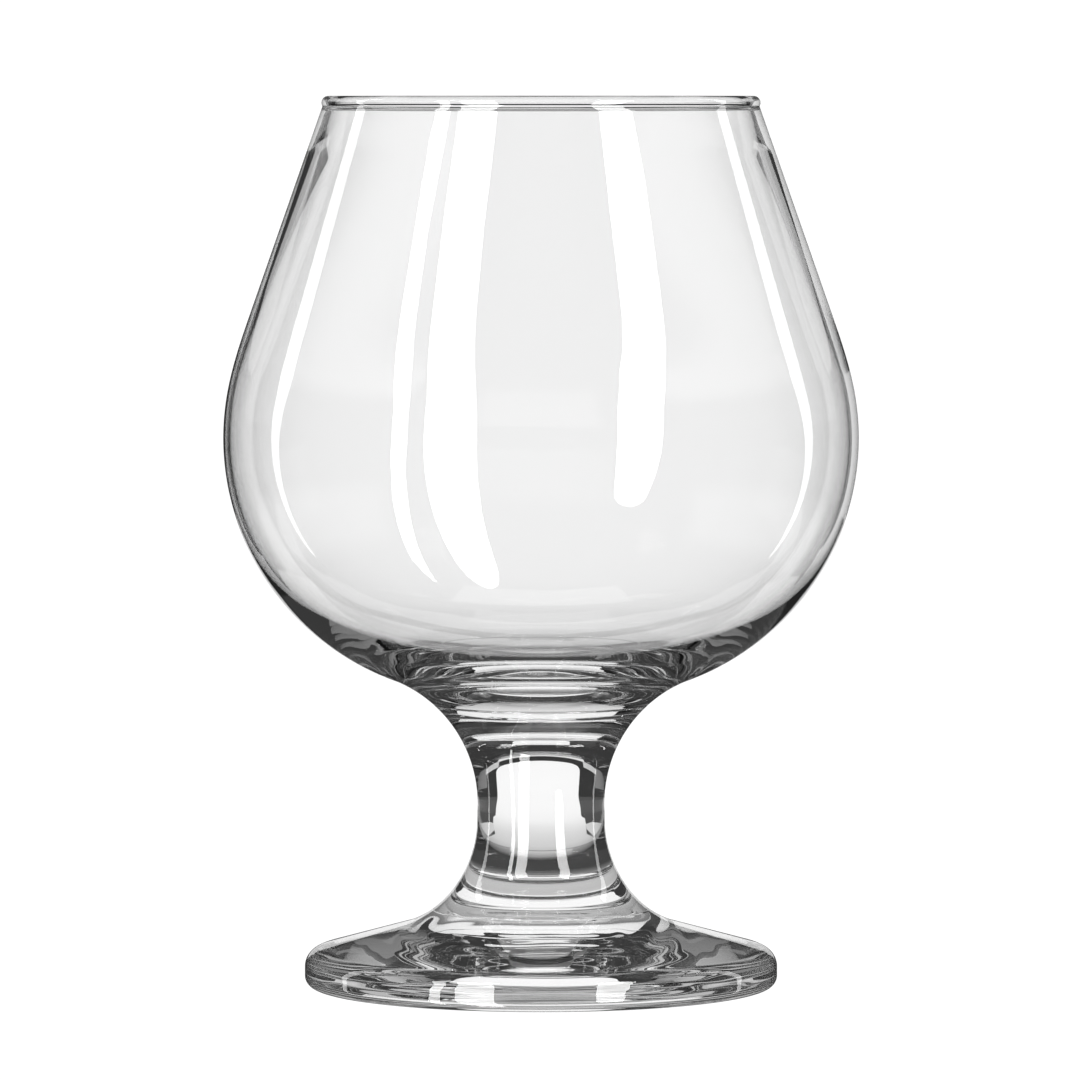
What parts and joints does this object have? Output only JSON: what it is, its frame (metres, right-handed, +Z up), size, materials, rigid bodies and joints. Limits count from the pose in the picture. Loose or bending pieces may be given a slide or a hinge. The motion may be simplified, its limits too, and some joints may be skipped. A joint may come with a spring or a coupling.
{
  "type": "brandy snifter",
  "caption": "Clear footed snifter: a round bowl that narrows to a beaded rim, on a short waisted stem and a broad sloping foot.",
  "frame": {"origin": "centre of the foot's underside, in the plane that the glass stands on", "axes": "+Z up along the stem's axis, from the foot to the rim; the glass is turned about +Z, so +X and +Y are alike"},
  "size_m": [0.0882, 0.0882, 0.1238],
  "materials": {
    "clear_glass": "clear soda-lime glass, fire-polished"
  },
  "bodies": {
    "root": {"bowl": "clear_glass", "stem": "clear_glass", "foot": "clear_glass"}
  },
  "joints": []
}
